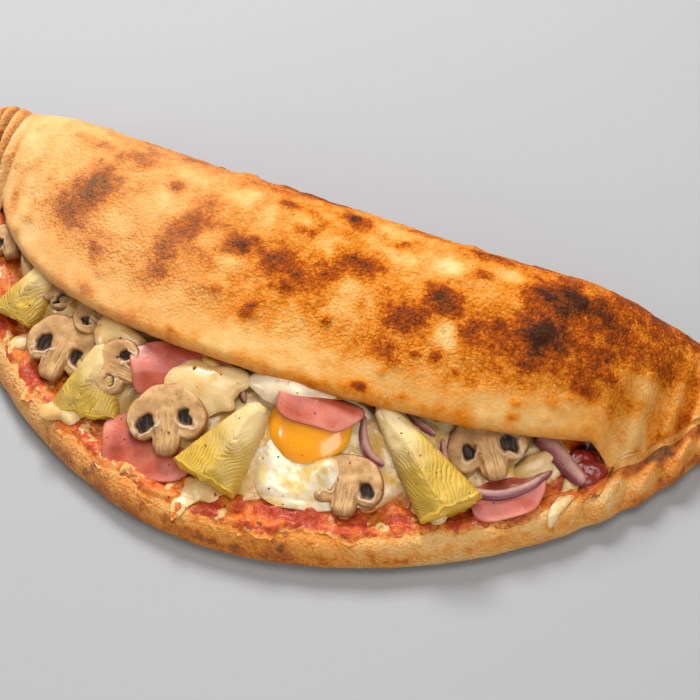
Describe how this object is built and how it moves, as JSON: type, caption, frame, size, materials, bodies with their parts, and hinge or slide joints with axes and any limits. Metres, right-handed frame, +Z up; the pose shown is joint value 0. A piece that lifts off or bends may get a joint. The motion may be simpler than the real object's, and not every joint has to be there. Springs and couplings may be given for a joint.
{
  "type": "calzone",
  "caption": "Baked half-moon of folded pizza dough, pinched at both ends and open along the front over a filling of cheese, egg, ham, mushroom and artichoke.",
  "frame": {"origin": "middle of the footprint's box, on the table", "axes": "+X along the folded edge towards the right tip, +Y from the open mouth towards the folded edge, +Z up"},
  "size_m": [0.3392, 0.1573, 0.0588],
  "materials": {
    "dough": "baked crust, matt, browned in patches",
    "sauce": "cooked tomato, moist",
    "cheese": "melted cheese, soft sheen",
    "mozzarella": "melted mozzarella, soft sheen",
    "egg_white": "set egg white, soft sheen",
    "egg_yolk": "soft yolk, wet",
    "mushroom": "cooked mushroom slice, moist",
    "artichoke": "pickled artichoke, moist",
    "ham": "cooked ham, moist",
    "onion": "red onion, translucent",
    "tomato": "cooked tomato piece, wet"
  },
  "bodies": {
    "root": {"dough": "dough", "tomato_sauce": "sauce", "melted_cheese": "cheese", "ham_over_yolk": "ham", "mushroom_left_front": "mushroom", "mushroom_mid": "mushroom", "mushroom_right": "mushroom", "mushroom_left": "mushroom", "ham_folded": "ham", "artichoke_mid": "artichoke", "artichoke_left": "artichoke", "artichoke_right": "artichoke", "artichoke_far_left": "artichoke", "mushroom_behind_ham": "mushroom", "egg_yolk": "egg_yolk", "onion_wedge": "onion", "onion_ring": "onion", "onion_curl": "onion", "onion_strip": "onion", "onion_short": "onion", "mozzarella": "mozzarella", "ham_front_left": "ham", "ham_front_right": "ham", "tomato_piece": "tomato", "mushroom_under_lip": "mushroom", "mushroom_under_lip_mid": "mushroom", "mushroom_far_left": "mushroom", "cheese_drip_left": "cheese", "cheese_drip_right": "cheese", "egg_white": "egg_white"}
  },
  "joints": []
}
